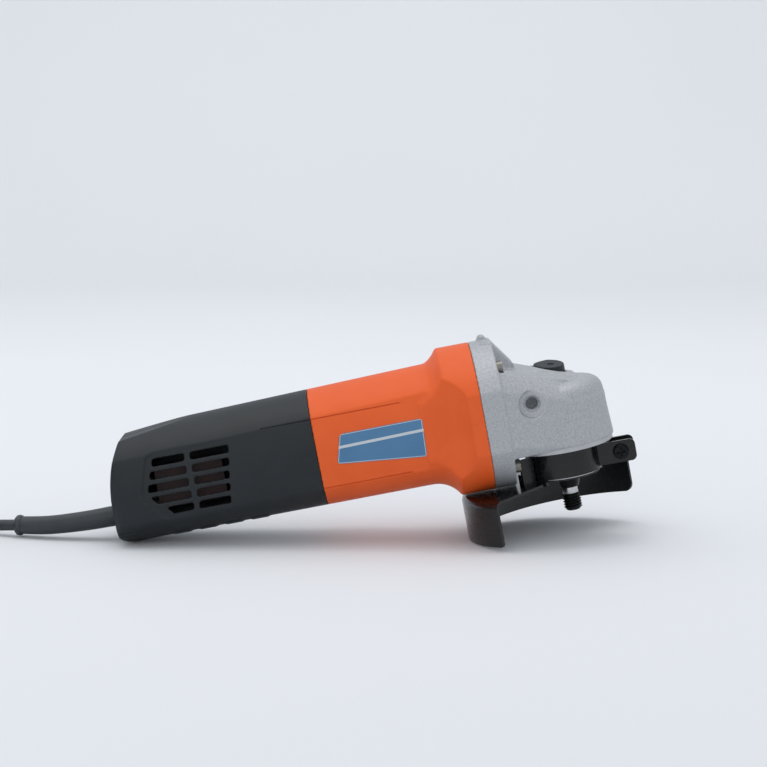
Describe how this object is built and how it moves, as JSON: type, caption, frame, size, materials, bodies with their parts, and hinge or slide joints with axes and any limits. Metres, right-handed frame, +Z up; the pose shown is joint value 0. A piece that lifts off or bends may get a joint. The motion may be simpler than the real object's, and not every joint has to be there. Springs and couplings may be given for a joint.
{
  "type": "angle grinder",
  "caption": "Small mains angle grinder with a flared motor housing, slatted handle, cast gear head, wheel guard, spindle and a cord with plug.",
  "frame": {"origin": "centre of the bottom of the tool's own box as it lies, without the free cord", "axes": "+X forward along the tool towards the gear head, +Y to the tool's left, +Z up; the motor axis rises 10.7 degrees towards the head because the tool lies on its guard and the heel of its handle"},
  "size_m": [0.4855, 0.1516, 0.1131],
  "materials": {
    "orange_plastic": "matte",
    "black_plastic": "matte",
    "cast_aluminium": "satin",
    "retainer_metal": "satin",
    "bright_steel": "satin",
    "blue_label": "satin",
    "dark_steel": "satin",
    "gear_steel": "satin",
    "black_rubber": "matte",
    "bronze": "satin",
    "core_steel": "matte",
    "copper": "satin",
    "fan_plastic": "matte",
    "brass": "satin",
    "carbon": "matte",
    "switch_plastic": "satin",
    "red_plastic": "satin",
    "zinc_steel": "satin",
    "wire_red": "satin",
    "cord_rubber": "matte",
    "plug_plastic": "satin",
    "nickel": "satin",
    "black_paint": "gloss"
  },
  "bodies": {
    "body": {"motor_housing": "orange_plastic", "handle_right": "black_plastic", "handle_left": "black_plastic", "handle_screws": "bright_steel", "gear_housing": "cast_aluminium", "housing_screws": "bright_steel", "bearing_retainer": "retainer_metal", "retainer_screws": "bright_steel", "rating_label": "blue_label", "spindle_bearing_outer": "bright_steel", "spindle_top_bush": "bronze", "bearing_balls": "bright_steel", "front_bearing_outer": "bright_steel", "rear_bearing_outer": "bright_steel", "rear_bearing_sleeve": "black_rubber", "stator_core": "core_steel", "field_coils": "copper", "air_baffle": "fan_plastic", "brush_holders": "brass", "carbon_brushes": "carbon", "brush_springs": "bright_steel", "switch_block": "switch_plastic", "capacitor": "red_plastic", "lead_wires": "wire_red", "cord_clamp": "switch_plastic", "cord_clamp_screws": "bright_steel", "cord_tail": "cord_rubber", "lock_spring": "bright_steel", "cord_boot": "cord_rubber", "cord": "cord_rubber", "cord_coil": "cord_rubber", "cord_tie": "plug_plastic", "plug_body": "plug_plastic", "plug_pins": "nickel"},
    "spindle_unit": {"spindle": "dark_steel", "drive_gear": "gear_steel", "gear_circlip": "dark_steel", "dust_ring": "black_rubber", "spindle_bearing_inner": "bright_steel"},
    "armature_unit": {"armature_shaft": "bright_steel", "armature_core": "core_steel", "armature_winding": "copper", "commutator": "copper", "fan": "fan_plastic", "pinion": "gear_steel", "pinion_nut": "bright_steel", "front_bearing_inner": "bright_steel", "rear_bearing_inner": "bright_steel"},
    "guard": {"guard_shell": "black_paint", "guard_collar": "black_paint", "clamp_screw": "black_paint", "clamp_nut": "bright_steel"},
    "switch_slide": {"switch_button": "black_plastic", "switch_rod": "zinc_steel", "switch_toggle": "red_plastic"},
    "lock": {"lock_button": "black_plastic", "lock_pin": "bright_steel"}
  },
  "joints": [
    {"name": "spindle_spin", "type": "hinge", "parent": "body", "child": "spindle_unit", "pos_m": [0.09578, -0.00939, 0.07631], "axis": [-0.1863, 0, 0.9825], "continuous": true},
    {"name": "armature_spin", "type": "hinge", "parent": "body", "child": "armature_unit", "pos_m": [0.09578, -0.00939, 0.07631], "axis": [0.9825, 0, 0.1863], "continuous": true},
    {"name": "guard_turn", "type": "hinge", "parent": "body", "child": "guard", "pos_m": [0.09578, -0.00939, 0.07631], "axis": [-0.1863, 0, 0.9825], "range_deg": [-90, 90]},
    {"name": "switch_slide", "type": "slide", "parent": "body", "child": "switch_slide", "axis": [0.9825, 0, 0.1863], "range_m": [0, 0.006]},
    {"name": "lock_press", "type": "slide", "parent": "body", "child": "lock", "axis": [0.1863, 0, -0.9825], "range_m": [0, 0.0035], "stiffness_N_per_m": 400, "springref_m": -0.004, "deforming": ["lock_spring"]}
  ],
  "couplings": [
    {"joint": "armature_spin", "follows": "spindle_spin", "ratio": -3.3}
  ]
}
